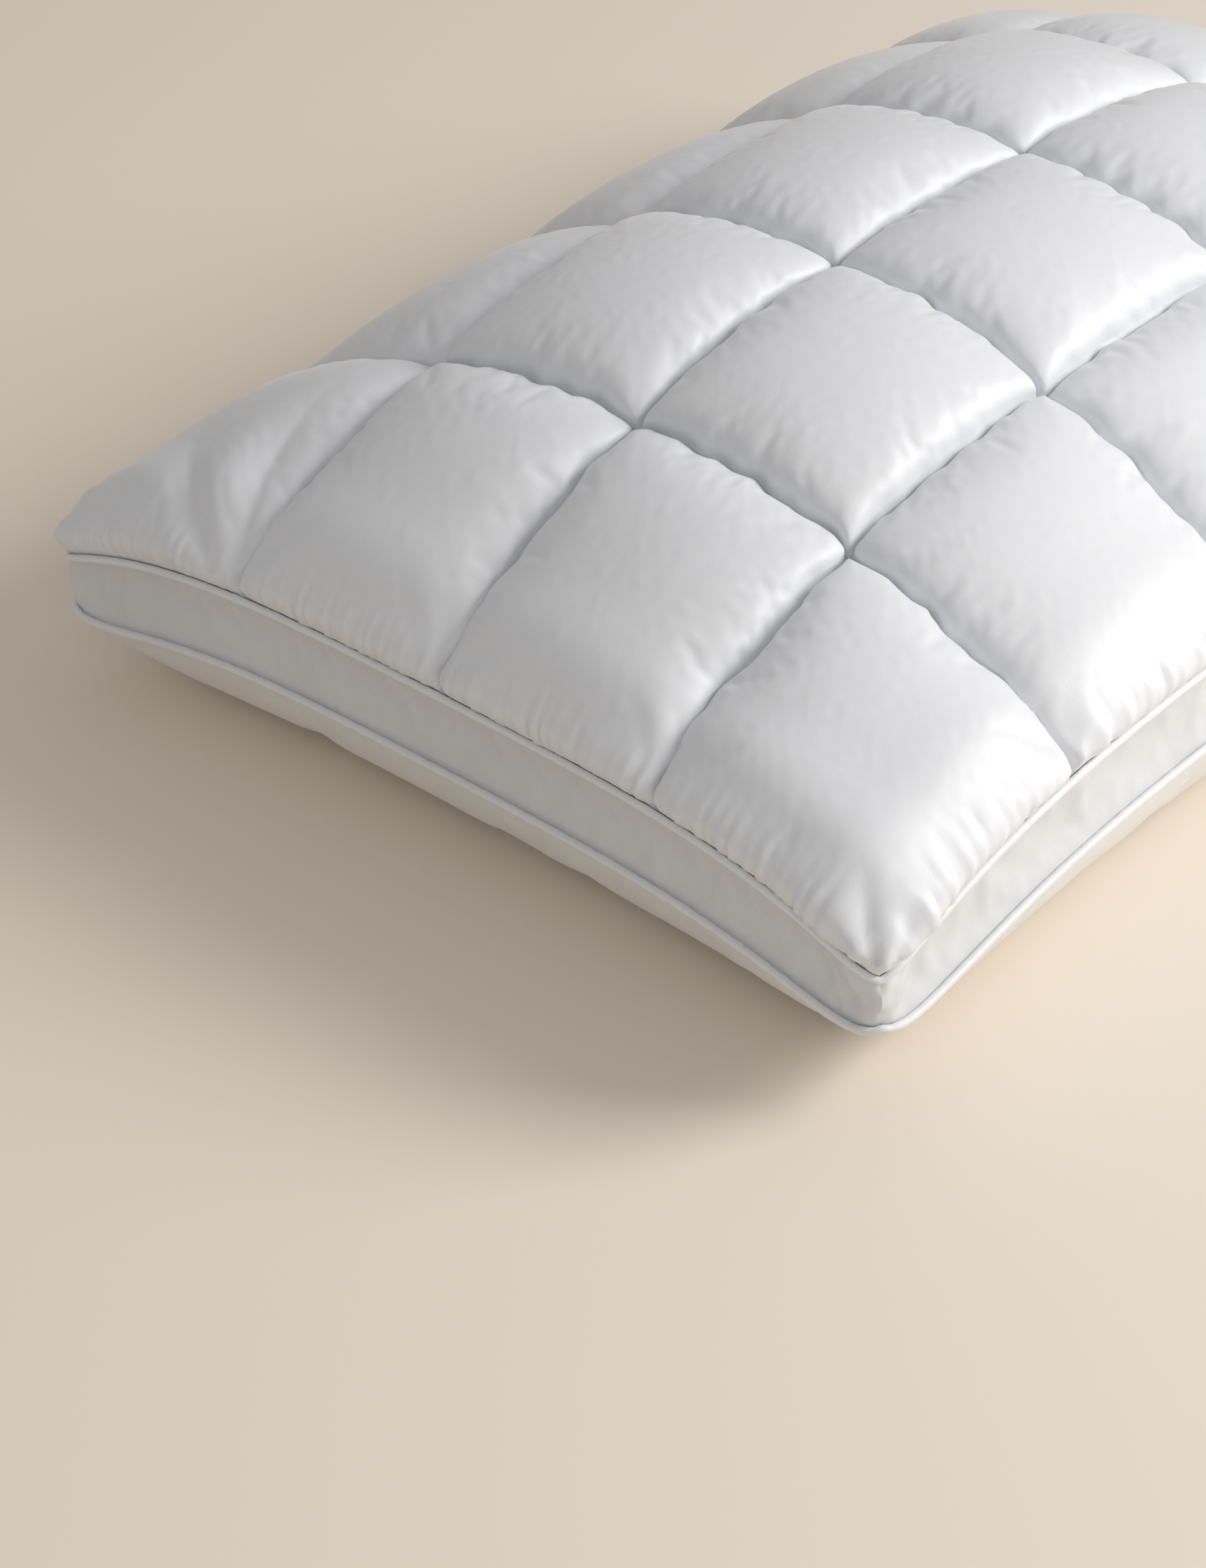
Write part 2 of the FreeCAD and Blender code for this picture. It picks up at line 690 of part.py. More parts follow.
def export(parts):
    os.makedirs("parts", exist_ok=True)
    for part in parts:
        part.Shape.exportStep(f"parts/{part.Label}.step")
        box = part.Shape.BoundBox
        print(
            f"{part.Label}: {len(part.Shape.Solids)} solid(s), {part.Shape.Volume:.0f} mm3, "
            f"{box.XLength:.1f} x {box.YLength:.1f} x {box.ZLength:.1f} mm from z {box.ZMin:.1f}"
        )


pillow = make_pillow()
check(pillow)
export(pillow)
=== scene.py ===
import math

import bpy
import numpy as np
from mathutils import Matrix, Vector


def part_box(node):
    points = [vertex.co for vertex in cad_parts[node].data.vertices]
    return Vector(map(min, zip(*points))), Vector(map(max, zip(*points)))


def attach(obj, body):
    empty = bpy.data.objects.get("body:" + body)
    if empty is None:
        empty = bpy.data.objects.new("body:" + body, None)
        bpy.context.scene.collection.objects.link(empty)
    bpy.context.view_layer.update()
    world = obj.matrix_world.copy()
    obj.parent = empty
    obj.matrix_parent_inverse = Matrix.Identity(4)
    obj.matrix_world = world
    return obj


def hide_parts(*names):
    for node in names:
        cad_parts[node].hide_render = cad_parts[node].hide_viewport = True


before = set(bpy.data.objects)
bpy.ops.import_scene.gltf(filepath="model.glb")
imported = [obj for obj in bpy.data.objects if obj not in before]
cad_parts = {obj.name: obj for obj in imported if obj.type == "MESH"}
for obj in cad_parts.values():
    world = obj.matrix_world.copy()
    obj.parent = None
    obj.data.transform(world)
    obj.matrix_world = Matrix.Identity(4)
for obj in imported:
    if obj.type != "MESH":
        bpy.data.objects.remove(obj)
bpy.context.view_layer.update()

# Sizes, in metres, worked out from the CAD frame ------------------------------------------------

gusset_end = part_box("gusset_right")
gusset_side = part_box("gusset_back")
upper_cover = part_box("upper_piping_cover")
lower_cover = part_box("lower_piping_cover")
lining_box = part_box("lining_panel")
face_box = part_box("face_panel")
label_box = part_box("care_label")

ROWS, COLUMNS = 5, 4
CORNER_POWER = 40  # how tight the corners are; the plan is a squared oval near them
CORNER_TRIM = 0.0010  # the corner's rounding takes this off the overall half length
HALF_LENGTH = gusset_end[1].x + CORNER_TRIM
HALF_WIDTH = gusset_side[1].y + CORNER_TRIM
END_BOW, SIDE_BOW = 0.006, 0.0154  # how far the sides draw in between the corners
UPPER_SEAM = (upper_cover[0].z + upper_cover[1].z) / 2
LOWER_SEAM = (lower_cover[0].z + lower_cover[1].z) / 2
BEAD_RADIUS = (upper_cover[1].z - upper_cover[0].z) / 2
BEAD_OUT = BEAD_RADIUS + 0.0003  # bead's middle beyond the seam line
CORD_RADIUS = (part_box("upper_piping_cord")[1].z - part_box("upper_piping_cord")[0].z) / 2
THREAD_RADIUS = 0.00025
FLANGE_WIDTH = 0.006
CROWN = lining_box[1].z - UPPER_SEAM + 0.004  # the filling lifts the middle a little further
PUFF = face_box[1].z - UPPER_SEAM - CROWN  # how far a pocket stands above its seams
END_PUFF, FAR_PUFF = PUFF + 0.002, PUFF - 0.005  # the same at the front end and the far side
CORNER_DROOP = 0.030  # the seams hang this much lower at the corners
FAR_DROOP = 0.010  # and this much lower along the far side
CORNER_LIFT = 0.016  # the lower seam keeps this much of the corners' droop back
BELLY_EDGE = 0.08  # how far in from the seam line the underside starts to lie flat
CROSSING_DEPTH, CROSSING_REACH = 0.004, 0.016  # crossings of the seams are pulled down

SPARE = 0.008  # share of spare cloth in the middle of a pocket
PER_CELL = 35  # squares of simulated cloth along each side of a pocket
PUCKER_DEPTH, PUCKER_REACH = 0.00012, 0.006  # fine puckers beside the seams
PINCH = 0.5  # the walls of a pocket close in on its seams by this share
SHOULDER = 0.004  # the front and left pockets swell this much more just above the piping
PINCH_REACH = 0.014
SHOULDER_PLACE, SHOULDER_REACH = 0.028, 0.020
LIP = 0.006  # the pockets hang this far over the piping
LIP_PLACE, LIP_REACH = 0.006, 0.008
WANDER = 0.0011  # quilting seams stray about this far from straight
WANDER_STEPS = 7  # and carry this many squares of cloth with them on each side
CLOTH = 0.0008  # the face and the underside lie this far off what they rest on
BEAD_CLEARANCE = 0.0008  # the face stays this far off the piping, the gusset a little closer
GUSSET_CLEARANCE = 0.0007
LOOP_STEPS = 400  # points along each side of a bead's path


# Shape of the pillow, as functions of the share of the way to the seam line ---------------------

def plan(across, up):
    """Plan position of a share across (X) and up (Y); 1 is the seam line, and corners are round."""
    level = np.maximum(np.maximum(np.abs(across), np.abs(up)), 1e-9)
    ring = np.abs(across / level) ** CORNER_POWER + np.abs(up / level) ** CORNER_POWER
    ring = np.maximum(ring, 1)
    pull = 1 + (ring ** (-1 / CORNER_POWER) - 1) * level ** 50  # only the very edge is rounded
    across, up = across * pull, up * pull
    x = across * (HALF_LENGTH - END_BOW * (1 - up ** 2))
    y = up * (HALF_WIDTH - SIDE_BOW * (1 - across ** 2))
    return x, y


def droop(across, up):
    """How far the seams hang down: at the corners, and a little along the far side."""
    far = FAR_DROOP * np.clip((up - 0.35) / 0.65, 0, 1) ** 1.5 * (1 - np.abs(across) ** 6)
    return CORNER_DROOP * np.abs(across * up) ** 4 + far


def upper_level(across, up):
    return UPPER_SEAM - droop(across, up)


def lower_level(across, up):
    return LOWER_SEAM - droop(across, up) + CORNER_LIFT * np.abs(across * up) ** 12


def seam_shares(pockets):
    """Shares of the way across at which the seams between pockets lie."""
    return [2 * seam / pockets - 1 for seam in range(1, pockets)]


def crossings(across, up):
    """Falls from 1 at each crossing of two quilting seams to 0 a little way off."""
    near = np.zeros(np.shape(across))
    for seam_across in seam_shares(ROWS):
        for seam_up in seam_shares(COLUMNS):
            off_x = (across - seam_across) * HALF_LENGTH
            off_y = (up - seam_up) * HALF_WIDTH
            near += np.exp(-(off_x ** 2 + off_y ** 2) / CROSSING_REACH ** 2)
    return near


def valley_level(across, up):
    """Level of the lining, on which the quilting seams are sewn down."""
    dome = (1 - np.abs(across) ** 2.9) * (1 - np.abs(up) ** 2.3)
    return upper_level(across, up) + CROWN * dome - CROSSING_DEPTH * crossings(across, up)


def belly_level(across, up):
    """Level of the underside: a rounded edge all round, pressed flat by the floor in the middle."""
    rounded = 1.0
    for share, half in ((across, HALF_LENGTH), (up, HALF_WIDTH)):
        inward = np.clip((1 - np.abs(share)) * half / BELLY_EDGE, 0, 1)
        rounded = rounded * np.sqrt(np.maximum(1 - (1 - inward) ** 2, 0))
    return CLOTH + (lower_level(across, up) - CLOTH) * (1 - rounded)


def puffs(across, up):
    """1 in the middle of each pocket, 0 on its seams: a gentle dome with steep walls."""
    def one(share, pockets):
        place = np.abs((share + 1) / 2 * pockets % 1 * 2 - 1)
        return np.maximum(1 - place ** 8, 0) ** 0.6 * (1 - 0.25 * place ** 2)
    return one(across, ROWS) * one(up, COLUMNS)


def puff_height(across, up):
    """How far the middle of each pocket stands up: fullest at the front end, least at the far side."""
    front_end, far_side = across <= 2 / ROWS - 1, up > 1 - 2 / COLUMNS
    return np.where(front_end, END_PUFF, np.where(far_side, FAR_PUFF, PUFF))


def points_of(across, up, level):
    x, y = plan(across, up)
    return np.stack([x, y, level], axis=-1)


# Meshes ----------------------------------------------------------------------------------------

def share_grid(rows, columns, low=(-1, -1), high=(1, 1)):
    """Grids of shares across and up, evenly spaced from low to high."""
    across = np.linspace(low[0], high[0], rows)
    up = np.linspace(low[1], high[1], columns)
    return np.meshgrid(across, up, indexing="ij")


def grid_faces(rows, columns, wrap=False):
    """Quads of a grid of rows x columns points; with wrap, the last row joins the first."""
    index = np.arange(rows * columns).reshape(rows, columns)
    if wrap:
        index = np.vstack([index, index[:1]])
    quads = [index[:-1, :-1], index[1:, :-1], index[1:, 1:], index[:-1, 1:]]
    return np.stack(quads, axis=-1).reshape(-1, 4)


def add_mesh(name, points, faces, material):
    mesh = bpy.data.meshes.new(name)
    mesh.from_pydata(np.reshape(points, (-1, 3)).tolist(), [], [list(map(int, f)) for f in faces])
    mesh.shade_smooth()
    mesh.materials.append(material)
    mesh.update()
    piece = bpy.data.objects.new(name, mesh)
    bpy.context.scene.collection.objects.link(piece)
    return piece


def subdivide(piece):
    """One smooth subdivision."""
    smooth = piece.modifiers.new("smooth", "SUBSURF")
    smooth.levels = smooth.render_levels = 1
    smooth.boundary_smooth = "ALL"


def settle(piece, node_names):
    """The piece rides on the pillow and stands for its CAD nodes, which it hides."""
    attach(piece, "root")
    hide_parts(*node_names)


def waves(length, count, seed, shortest, longest, size):
    """A smooth seeded wobble at count places along a length, about size high."""
    random = np.random.default_rng(seed)
    at = np.linspace(0, length, count)
    total = np.zeros(count)
    terms = 9
    for wavelength in np.geomspace(shortest, longest, terms):
        phase = random.uniform(0, 2 * math.pi)
        total += random.normal() * np.sin(2 * math.pi * at / wavelength + phase)
    return size * total / math.sqrt(terms / 2)


def simulate(points, faces, pinned, extra, pressure, frames, looseness=None, bending=0.5):
    """Blows up a cloth with air pressure, holding its sewn points, and returns its points.

    extra is the share of spare cloth; looseness, 0 to 1 at each point, scales it.
    """
    points = np.reshape(points, (-1, 3))
    scene = bpy.context.scene
    mesh = bpy.data.meshes.new("cloth")
    mesh.from_pydata(points.tolist(), [], [list(map(int, f)) for f in faces])
    piece = bpy.data.objects.new("cloth", mesh)
    scene.collection.objects.link(piece)
    sewn = piece.vertex_groups.new(name="sewn")
    sewn.add([int(i) for i in np.flatnonzero(pinned)], 1.0, "REPLACE")
    cloth = piece.modifiers.new("cloth", "CLOTH")
    settings = cloth.settings
    settings.vertex_group_mass = "sewn"
    if looseness is not None:
        tight = piece.vertex_groups.new(name="tight")
        levels = 20
        steps = np.round(np.clip(1 - looseness, 0, 1) * levels).astype(int)
        for step in range(levels + 1):
            tight.add([int(i) for i in np.flatnonzero(steps == step)], step / levels, "REPLACE")
        settings.vertex_group_shrink = "tight"
    settings.shrink_min = -extra
    settings.quality = 6
    settings.mass = 0.05
    settings.air_damping = 1
    settings.tension_stiffness = settings.compression_stiffness = 15
    settings.shear_stiffness = 6
    settings.bending_stiffness = bending
    settings.tension_damping = settings.compression_damping = settings.shear_damping = 5
    settings.bending_damping = 0.5
    settings.use_pressure = True
    settings.uniform_pressure_force = pressure
    settings.effector_weights.gravity = 0
    cloth.collision_settings.use_collision = False
    cloth.collision_settings.use_self_collision = False
    scene.frame_start, scene.frame_end = 1, frames + 1
    cloth.point_cache.frame_end = frames + 1
    for number in range(1, frames + 1):
        scene.frame_set(number)
    filled = piece.evaluated_get(bpy.context.evaluated_depsgraph_get()).to_mesh()
    result = np.zeros(len(points) * 3, np.float32)
    filled.vertices.foreach_get("co", result)
    bpy.data.objects.remove(piece)
    bpy.data.meshes.remove(mesh)
    scene.frame_set(1)
    return result.reshape(-1, 3).astype(float)


# Seam loops ------------------------------------------------------------------------------------

def loop_shares(per_side):
    """Shares round the seam line, anticlockwise from the front left corner: per_side a side."""
    run = np.linspace(-1, 1, per_side, endpoint=False)
    one = np.ones(per_side)
    across = np.concatenate([run, one, -run, -one])
    up = np.concatenate([-one, run, one, -run])
    return across, up


def loop_path(level, per_side, out=0.0):
    """Points and outward directions of a seam loop, moved outward in plan."""
    across, up = loop_shares(per_side)
    points = points_of(across, up, level(across, up))
    along = np.roll(points, -1, axis=0) - np.roll(points, 1, axis=0)
    outward = np.stack([along[:, 1], -along[:, 0], np.zeros(len(along))], axis=-1)
    outward /= np.linalg.norm(outward, axis=1)[:, None]
    return points + outward * out, outward


def sweep(name, path, sideways, profile, material, closed_profile, swell=None):
    """A tube or strip round a closed path: profile points (sideways, up) carried along it."""
    profile = np.array(profile, float)
    if swell is None:
        swell = np.ones(len(path))
    side = sideways[:, None, :] * profile[None, :, :1]
    rise = np.array([0, 0, 1.0]) * profile[None, :, 1:]
    points = path[:, None, :] + (side + rise) * swell[:, None, None]
    count = len(profile)
    if closed_profile:
        points = np.concatenate([points, points[:, :1]], axis=1)
        faces = grid_faces(len(path), count + 1, True)
        row, place = np.divmod(faces, count + 1)
        faces = row * count + place % count
        points = points[:, :count]
    else:
        faces = grid_faces(len(path), count, True)
    return add_mesh(name, points, faces, material)


def circle(radius, sides):
    turn = np.arange(sides) / sides * 2 * math.pi
    return np.stack([radius * np.cos(turn), radius * np.sin(turn)], axis=-1)


# Materials -------------------------------------------------------------------------------------

def principled(name, **settings):
    material = bpy.data.materials.new(name)
    material.use_nodes = True
    shader = material.node_tree.nodes["Principled BSDF"]
    for socket, value in settings.items():
        shader.inputs[socket.replace("_", " ").title().replace("Ior", "IOR")].default_value = value
    return material, shader


def add_node(material, kind, **settings):
    node = material.node_tree.nodes.new(kind)
    for name, value in settings.items():
        if name in node.inputs:
            node.inputs[name].default_value = value
        else:
            setattr(node, name, value)
    return node


def link(material, source, output, target, socket):
    material.node_tree.links.new(source.outputs[output], target.inputs[socket])


def woven(name, colours, pitch, roughness, sheen, weave_depth, crease_depth):
    """A plain weave of fine threads with soft cloudy variation and faint handling creases.

    colours are the lighter and the darker one; pitch is the distance between threads.
    """
    light, dark = colours
    material, shader = principled(name, roughness=roughness)
    shader.inputs["Sheen Weight"].default_value = sheen
    shader.inputs["Sheen Roughness"].default_value = 0.35
    shader.inputs["Specular IOR Level"].default_value = 0.45
    place = add_node(material, "ShaderNodeTexCoord")
    cloudy = add_node(material, "ShaderNodeTexNoise", Scale=14.0, Detail=3.0)
    slub = add_node(material, "ShaderNodeTexNoise", Scale=900.0, Detail=2.0)
    link(material, place, "Object", cloudy, "Vector")
    link(material, place, "Object", slub, "Vector")

    ramp = add_node(material, "ShaderNodeValToRGB")
    ramp.color_ramp.elements[0].color = (*dark, 1)
    ramp.color_ramp.elements[1].color = (*light, 1)
    ramp.color_ramp.elements[0].position = 0.25
    ramp.color_ramp.elements[1].position = 0.75
    link(material, cloudy, "Fac", ramp, "Fac")
    link(material, ramp, "Color", shader, "Base Color")

    gloss = add_node(material, "ShaderNodeMapRange")
    gloss.inputs["To Min"].default_value = roughness - 0.05
    gloss.inputs["To Max"].default_value = roughness + 0.07
    link(material, slub, "Fac", gloss, "Value")
    link(material, gloss, "Result", shader, "Roughness")

    height = None
    for direction in ("X", "Y"):
        threads = add_node(material, "ShaderNodeTexWave", Scale=WAVE_SCALE / pitch, Distortion=0.6)
        threads.bands_direction = direction
        threads.inputs["Detail Scale"].default_value = 3.0
        link(material, place, "Object", threads, "Vector")
        bump = add_node(material, "ShaderNodeBump", Strength=weave_depth, Distance=0.0002)
        link(material, threads, "Fac", bump, "Height")
        if height is not None:
            link(material, height, "Normal", bump, "Normal")
        height = bump
    creases = add_node(material, "ShaderNodeTexNoise", Scale=60.0, Detail=4.0, Distortion=1.2)
    link(material, place, "Object", creases, "Vector")
    soft = add_node(material, "ShaderNodeBump", Strength=crease_depth, Distance=0.0015)
    link(material, creases, "Fac", soft, "Height")
    link(material, height, "Normal", soft, "Normal")
    link(material, soft, "Normal", shader, "Normal")
    return material


def fibre(name, light, dark, clump):
    """Matted polyester fibre: clumps with a rough broken surface, and painted shade: darker in the hollows
    between the clumps.
    """
    material, shader = principled(name, roughness=0.9)
    shader.inputs["Sheen Weight"].default_value = 0.3
    place = add_node(material, "ShaderNodeTexCoord")
    clumps = add_node(material, "ShaderNodeTexNoise", Scale=clump, Detail=8.0, Distortion=2.0)
    # painted shade: the same noise sets both the colour and the bump, so the fibre is darker where its
    # surface is lowest
    ramp = add_node(material, "ShaderNodeValToRGB")
    ramp.color_ramp.elements[0].color = (*dark, 1)
    ramp.color_ramp.elements[1].color = (*light, 1)
    bump = add_node(material, "ShaderNodeBump", Strength=0.8, Distance=0.002)
    link(material, place, "Object", clumps, "Vector")
    link(material, clumps, "Fac", ramp, "Fac")
    link(material, ramp, "Color", shader, "Base Color")
    link(material, clumps, "Fac", bump, "Height")
    link(material, bump, "Normal", shader, "Normal")
    return material


def twisted(name, light, dark, twist):
    """Thread or cord: fine diagonal twist, with painted shade: its colour is darker in the grooves of the
    twist.
    """
    material, shader = principled(name, roughness=0.55)
    place = add_node(material, "ShaderNodeTexCoord")
    turns = add_node(material, "ShaderNodeTexWave", Scale=WAVE_SCALE / twist, Distortion=1.0)
    turns.bands_direction = "DIAGONAL"
    # painted shade: the wave sets both the colour and the bump, so the thread is darker in its grooves
    ramp = add_node(material, "ShaderNodeValToRGB")
    ramp.color_ramp.elements[0].color = (*dark, 1)
    ramp.color_ramp.elements[1].color = (*light, 1)
    bump = add_node(material, "ShaderNodeBump", Strength=0.5, Distance=0.0001)
    link(material, place, "Object", turns, "Vector")
    link(material, turns, "Fac", ramp, "Fac")
    link(material, ramp, "Color", shader, "Base Color")
    link(material, turns, "Fac", bump, "Height")
    link(material, bump, "Normal", shader, "Normal")
    return material


WAVE_SCALE = 0.314  # a wave texture's scale times its wavelength in metres

SATIN_COLOURS = (0.782, 0.796, 0.828), (0.765, 0.778, 0.81)
# the gusset is the same satin as the face and the piping; its colours are painted about a tenth darker, as
# painted shade on the gusset's side walls
GUSSET_PAINTED_SHADE_COLOURS = (0.70, 0.71, 0.725), (0.68, 0.69, 0.705)
PIPING_COLOURS = (0.79, 0.80, 0.82), (0.77, 0.78, 0.80)
UNDERSIDE_COLOURS = (0.79, 0.78, 0.76), (0.76, 0.75, 0.73)
LINING_COLOURS = (0.76, 0.75, 0.71), (0.72, 0.71, 0.67)
TAPE_COLOURS = (0.86, 0.86, 0.85), (0.82, 0.82, 0.81)

SATIN = woven("satin_microfibre", SATIN_COLOURS, 0.00035, 0.42, 0.25, 0.10, 0.10)
GUSSET_SATIN_PAINTED_SHADE = woven("gusset_satin_painted_shade", GUSSET_PAINTED_SHADE_COLOURS, 0.00035, 0.42, 0.25, 0.10, 0.16)
PIPING_SATIN = woven("piping_satin", PIPING_COLOURS, 0.0003, 0.42, 0.25, 0.12, 0.10)
UNDERSIDE = woven("underside_percale", UNDERSIDE_COLOURS, 0.0004, 0.55, 0.2, 0.14, 0.2)
LINING = woven("lining_muslin", LINING_COLOURS, 0.0006, 0.7, 0.1, 0.25, 0.2)
TAPE = woven("label_tape", TAPE_COLOURS, 0.0003, 0.4, 0.1, 0.2, 0.05)
PAD_FIBRE = fibre("pocket_fibre", (0.86, 0.86, 0.86), (0.74, 0.74, 0.75), 90.0)
CORE_FIBRE = fibre("core_fibre", (0.84, 0.84, 0.83), (0.70, 0.70, 0.70), 60.0)
THREAD = twisted("sewing_thread", (0.80, 0.80, 0.80), (0.68, 0.68, 0.69), 0.0005)
CORD = twisted("piping_cord", (0.78, 0.76, 0.70), (0.62, 0.60, 0.55), 0.0012)


# Quilted face ----------------------------------------------------------------------------------

def make_face():
    """The face cloth, sewn down along the quilting seams and blown up between them."""
    rows, columns = ROWS * PER_CELL + 1, COLUMNS * PER_CELL + 1
    across, up = share_grid(rows, columns)
    sewn_points = points_of(across, up, valley_level(across, up) + CLOTH)

    # the seams wander a little from their straight lines, and draw in where two of them cross
    reach = WANDER_STEPS
    inside = np.clip((1 - np.abs(up)) * HALF_WIDTH / 0.03, 0, 1)
    for seam in range(1, ROWS):
        middle = seam * PER_CELL
        wander = waves(2 * HALF_WIDTH, columns, 10 + seam, shortest=0.02, longest=0.12, size=WANDER)
        for row in range(middle - reach, middle + reach + 1):
            share = (1 - abs(row - middle) / (reach + 1)) ** 2
            sewn_points[row, :, 0] += wander * share * inside[row]
    inside = np.clip((1 - np.abs(across)) * HALF_LENGTH / 0.03, 0, 1)
    for seam in range(1, COLUMNS):
        middle = seam * PER_CELL
        wander = waves(2 * HALF_LENGTH, rows, 30 + seam, shortest=0.02, longest=0.14, size=WANDER)
        for column in range(middle - reach, middle + reach + 1):
            share = (1 - abs(column - middle) / (reach + 1)) ** 2
            sewn_points[:, column, 1] += wander * share * inside[:, column]
    for cross_seam in range(1, ROWS):
        for long_seam in range(1, COLUMNS):
            heart = sewn_points[cross_seam * PER_CELL, long_seam * PER_CELL].copy()
            away = sewn_points - heart
            near = np.exp(-(away[..., 0] ** 2 + away[..., 1] ** 2) / CROSSING_REACH ** 2)
            sewn_points[..., :2] -= 0.28 * near[..., None] * away[..., :2]

    puff = puffs(across, up)
    outward = normals_of(sewn_points)
    random = np.random.default_rng(3)
    height = puff_height(across, up) * puff + random.normal(0, 0.00012, puff.shape) * (puff > 0)
    start = sewn_points + outward * height[..., None]
    row, column = np.indices((rows, columns))
    pinned = (row % PER_CELL == 0) | (column % PER_CELL == 0)
    looseness = 0.3 + 0.7 * puff
    faces = grid_faces(rows, columns)
    filled = simulate(
        start, faces, pinned.ravel(), SPARE, pressure=60, frames=20, looseness=looseness.ravel(), bending=5.0
    )
    return gather(refine(refine(filled.reshape(rows, columns, 3), 0), 1))


def normals_of(points):
    """Upward unit normals of a grid of points."""
    normals = np.cross(np.gradient(points, axis=0), np.gradient(points, axis=1))
    return normals / np.linalg.norm(normals, axis=2)[..., None]


def refine(points, axis):
    """Twice as many points along an axis, smooth inside each pocket and sharp at its seams."""
    points = np.moveaxis(points, axis, 0)
    before, after = points[:-1], points[1:]
    place = np.arange(len(points) - 1) % PER_CELL
    shape = (-1,) + (1,) * (points.ndim - 1)
    outer_before = np.roll(points, 1, axis=0)[:-1]
    outer_after = np.roll(points, -2, axis=0)[:-1]
    middle = (9 * (before + after) - outer_before - outer_after) / 16
    first = (3 * before + 6 * after - outer_after) / 8
    last = (3 * after + 6 * before - outer_before) / 8
    middle = np.where((place == 0).reshape(shape), first, middle)
    middle = np.where((place == PER_CELL - 1).reshape(shape), last, middle)
    finer = np.empty((2 * len(points) - 1,) + points.shape[1:])
    finer[::2], finer[1::2] = points, middle
    return np.moveaxis(finer, 0, axis)


def fans():
    """Where folds fan out from a pinched stitch: place, depth and reach of each fan."""
    pinches = [(a, u, 0.00025, 0.020) for a in seam_shares(ROWS) for u in seam_shares(COLUMNS)]
    pinches += [(a, u, 0.0006, 0.030) for a in (-1, 1) for u in seam_shares(COLUMNS)]
    pinches += [(a, u, 0.0006, 0.026) for a in seam_shares(ROWS) for u in (-1, 1)]
    return pinches


def tucks(across, up, turns, twist, phase, depth, place, reach):
    """Sharp folds that run out from a point, deepest at the distance called place."""
    x, y = across * HALF_LENGTH, up * HALF_WIDTH
    far, turn = np.hypot(x, y), np.arctan2(y, x)
    folds = np.abs(np.sin(turns * turn + twist * far + phase)) - 0.6
    return depth * folds * np.exp(-((far - place) / reach) ** 2)


def gather(points):
    """Works the cloth at its seams: puckers, walls drawn in, a ragged lip, and folds at stitches."""
    rows, columns = points.shape[:2]
    per_cell = 2 * PER_CELL
    across, up = share_grid(rows, columns)
    row, column = np.indices((rows, columns))
    full = np.minimum(1, puffs(across, up) * 3)
    lift = np.zeros((rows, columns))
    shift = np.zeros((rows, columns, 2))
    for axis, place, size in ((0, row, HALF_LENGTH / ROWS), (1, column, HALF_WIDTH / COLUMNS)):
        last = (rows, columns)[axis] // per_cell
        count = (rows, columns)[1 - axis]
        for seam in range(last + 1):
            edge = seam in (0, last)
            for side in (-1, 1):
                seed = 200 + 40 * axis + 4 * seam + side
                off = (place - seam * per_cell) * side * 2 * size / per_cell
                length = waves(2, count, seed, shortest=0.05, longest=0.3, size=0.35)
                wave = waves(2, count, seed + 100, shortest=0.022, longest=0.06, size=1.0)
                length, wave = (v[None, :] if axis == 0 else v[:, None] for v in (length, wave))
                reach = PUCKER_REACH * (0.7 if edge else 1.0) * np.exp(length)
                fade = np.clip(off / 0.0015, 0, 1) * np.exp(-np.maximum(off, 0) / reach) * (off > 0)
                lift += PUCKER_DEPTH * wave * fade * (off < size)
                if not edge:
                    drawn = np.exp(-(off / PINCH_REACH) ** 2) * (off > 0)
                    shift[..., axis] -= side * PINCH * off * drawn
                else:
                    near = np.exp(-((off - LIP_PLACE) / LIP_REACH) ** 2) * (off > 0)
                    if seam == 0:
                        shoulder = np.exp(-((off - SHOULDER_PLACE) / SHOULDER_REACH) ** 2)
                        lift += SHOULDER * shoulder * (off > 0)
                    shift[..., axis] -= side * LIP * near * np.maximum(1 + 0.08 * wave, 0)
    for fold_across, fold_up, depth, reach in fans():
        x, y = (across - fold_across) * HALF_LENGTH, (up - fold_up) * HALF_WIDTH
        far = np.hypot(x, y) / reach
        turn = np.arctan2(y, x)
        seed = abs(fold_across) + 3 * fold_up
        folds = np.sin(9 * turn + 7 * seed) + 0.6 * np.sin(14 * turn + 11 * seed)
        lift += depth * folds * far ** 0.7 * np.exp(-far ** 2)
    # long curved folds in the far front corner pocket, from the end of the last long seam
    folds = tucks(across + 1, up - 0.5, turns=5, twist=12, phase=0.5, depth=0.0045, place=0.050, reach=0.038)
    lift += np.where(up > 0.5, folds, 0)
    # a star of short tucks at the near corner
    lift += tucks(across + 1, up + 1, turns=6, twist=0, phase=0.8, depth=0.0030, place=0.016, reach=0.014)
    gathered = points + normals_of(points) * (lift * full)[..., None]
    gathered[..., :2] += shift * full[..., None]
    return gathered


face_points = make_face()
bead_path, _ = loop_path(upper_level, LOOP_STEPS, BEAD_OUT)


